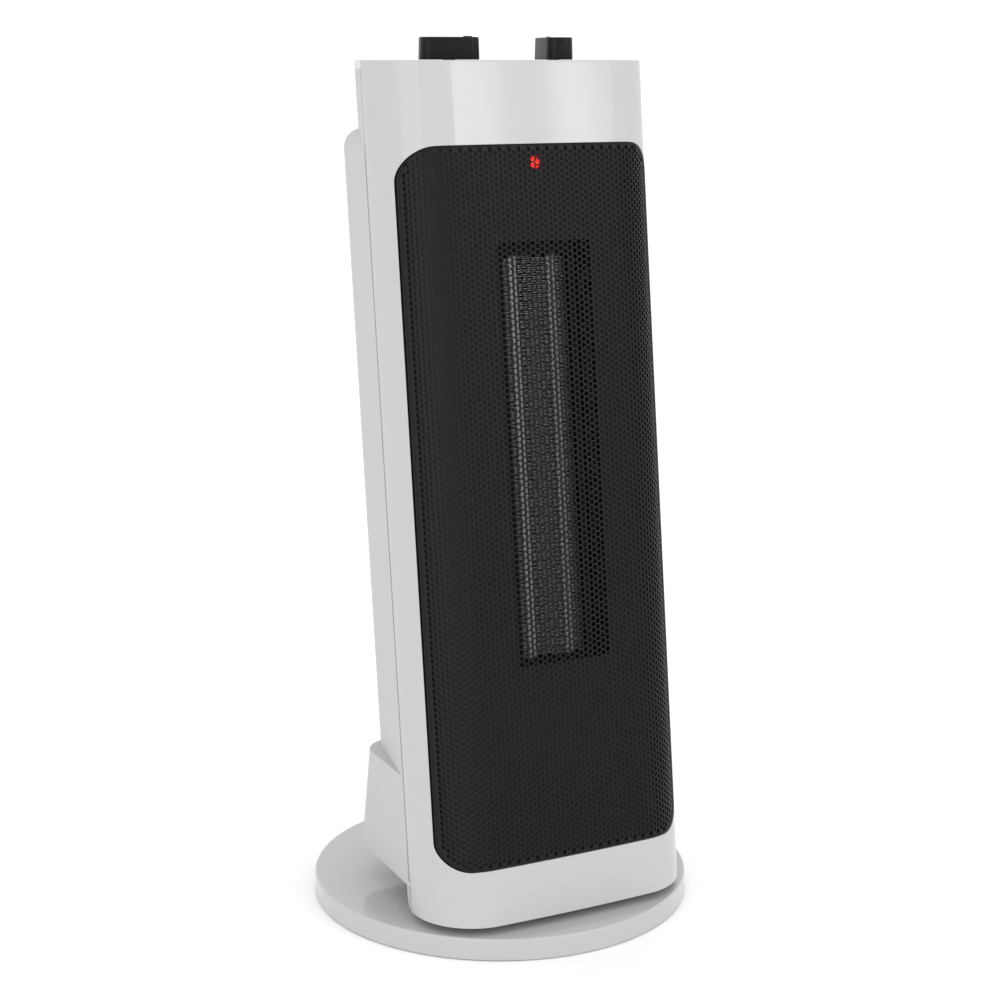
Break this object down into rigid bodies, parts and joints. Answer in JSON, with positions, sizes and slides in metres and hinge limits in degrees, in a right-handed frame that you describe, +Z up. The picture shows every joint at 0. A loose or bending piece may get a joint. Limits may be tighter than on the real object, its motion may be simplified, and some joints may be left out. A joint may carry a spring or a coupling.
{
  "type": "ceramic space heater",
  "caption": "Leaning tower ceramic heater: pale two-part casing, black bowed mesh front, two bar knobs on top, swivelling on a round flat base.",
  "frame": {"origin": "centre of the round base, on the surface it stands on", "axes": "+Z up, the mesh front faces -Y, +X to the right as seen from behind the front face looking along +Y"},
  "size_m": [0.1964, 0.1964, 0.4418],
  "materials": {
    "casing": "moulded ABS, fine satin gloss",
    "base_plastic": "moulded polypropylene",
    "ballast_steel": "bare stamped steel",
    "zinc_steel": "zinc plated",
    "rubber": "matte rubber",
    "black_plastic": "black moulded, heat resistant",
    "panel_plastic": "moulded ABS, dull black",
    "spring_steel": "spring wire",
    "acetal": "natural acetal",
    "brass": "turned brass",
    "grille_black": "perforated steel sheet, black semi gloss enamel",
    "lamp_red": "red tinted lens",
    "board": "phenolic paper board",
    "element_aluminium": "mill finish aluminium, slightly heat dulled",
    "shaft_steel": "ground steel",
    "lamination_steel": "stacked lamination steel",
    "winding": "taped copper winding",
    "filter_mesh": "woven filter mesh",
    "knob_black": "black moulded, satin",
    "switch_phenolic": "moulded phenolic"
  },
  "bodies": {
    "base": {"base_cover": "casing", "base_plate": "base_plastic", "ballast_plate": "ballast_steel", "base_screws": "zinc_steel", "rubber_feet": "rubber", "tip_spring": "spring_steel", "tip_switch": "black_plastic", "swivel_washer": "acetal", "drive_plate": "zinc_steel", "drive_plate_screws": "zinc_steel"},
    "plunger": {"tip_plunger": "black_plastic"},
    "crank": {"swing_crank": "acetal", "crank_roller": "brass"},
    "thermostat_control": {"thermostat_knob": "knob_black", "thermostat_spindle": "shaft_steel"},
    "selector_control": {"selector_knob": "knob_black", "selector_spindle": "shaft_steel"},
    "blower": {"blower_wheel": "black_plastic", "blower_shaft": "shaft_steel", "motor_rotor": "lamination_steel"},
    "tower": {"bottom_tray": "casing", "swing_motor_bridge": "zinc_steel", "bridge_screws": "zinc_steel", "swing_motor": "zinc_steel", "front_frame": "casing", "front_grille": "grille_black", "outlet_panel": "panel_plastic", "indicator_lamp": "lamp_red", "lamp_board": "board", "heater_frame": "black_plastic", "heater_tubes": "element_aluminium", "heater_fins": "element_aluminium", "heater_end_blocks": "black_plastic", "thermal_cutout": "black_plastic", "blower_housing": "black_plastic", "upper_bearing": "brass", "motor_stator": "lamination_steel", "motor_coil": "winding", "motor_brackets": "zinc_steel", "motor_bolts": "zinc_steel", "rear_shell": "casing", "intake_grille": "casing", "dust_filter": "filter_mesh", "cord_gland": "rubber", "case_screws": "zinc_steel", "top_panel": "casing", "thermostat": "switch_phenolic", "selector_switch": "switch_phenolic", "terminal_block": "base_plastic", "cord_clamp": "black_plastic", "tray_screws": "zinc_steel"}
  },
  "joints": [
    {"name": "tower_swing", "type": "hinge", "parent": "base", "child": "tower", "pos_m": [0, 0, 0.0298], "axis": [0, 0, 1], "range_deg": [-30, 30]},
    {"name": "crank_turn", "type": "hinge", "parent": "tower", "child": "crank", "pos_m": [0, -0.03, 0.038], "axis": [0, 0, 1], "range_deg": [-101, 101]},
    {"name": "thermostat_turn", "type": "hinge", "parent": "tower", "child": "thermostat_control", "pos_m": [-0.029, -0.002, 0.435], "axis": [0, 0, 1], "range_deg": [-135, 135]},
    {"name": "selector_turn", "type": "hinge", "parent": "tower", "child": "selector_control", "pos_m": [0.029, -0.002, 0.435], "axis": [0, 0, 1], "range_deg": [-135, 45]},
    {"name": "blower_spin", "type": "hinge", "parent": "tower", "child": "blower", "pos_m": [0, 0.00141, 0.2012], "axis": [0, 0.1163, 0.9932], "continuous": true},
    {"name": "plunger_slide", "type": "slide", "parent": "base", "child": "plunger", "axis": [0, 0, 1], "range_m": [-0.003, 0], "stiffness_N_per_m": 120, "springref_m": -0.004, "deforming": ["tip_spring"]}
  ],
  "couplings": [
    {"joint": "crank_turn", "follows": "tower_swing", "ratio": -3.35}
  ]
}
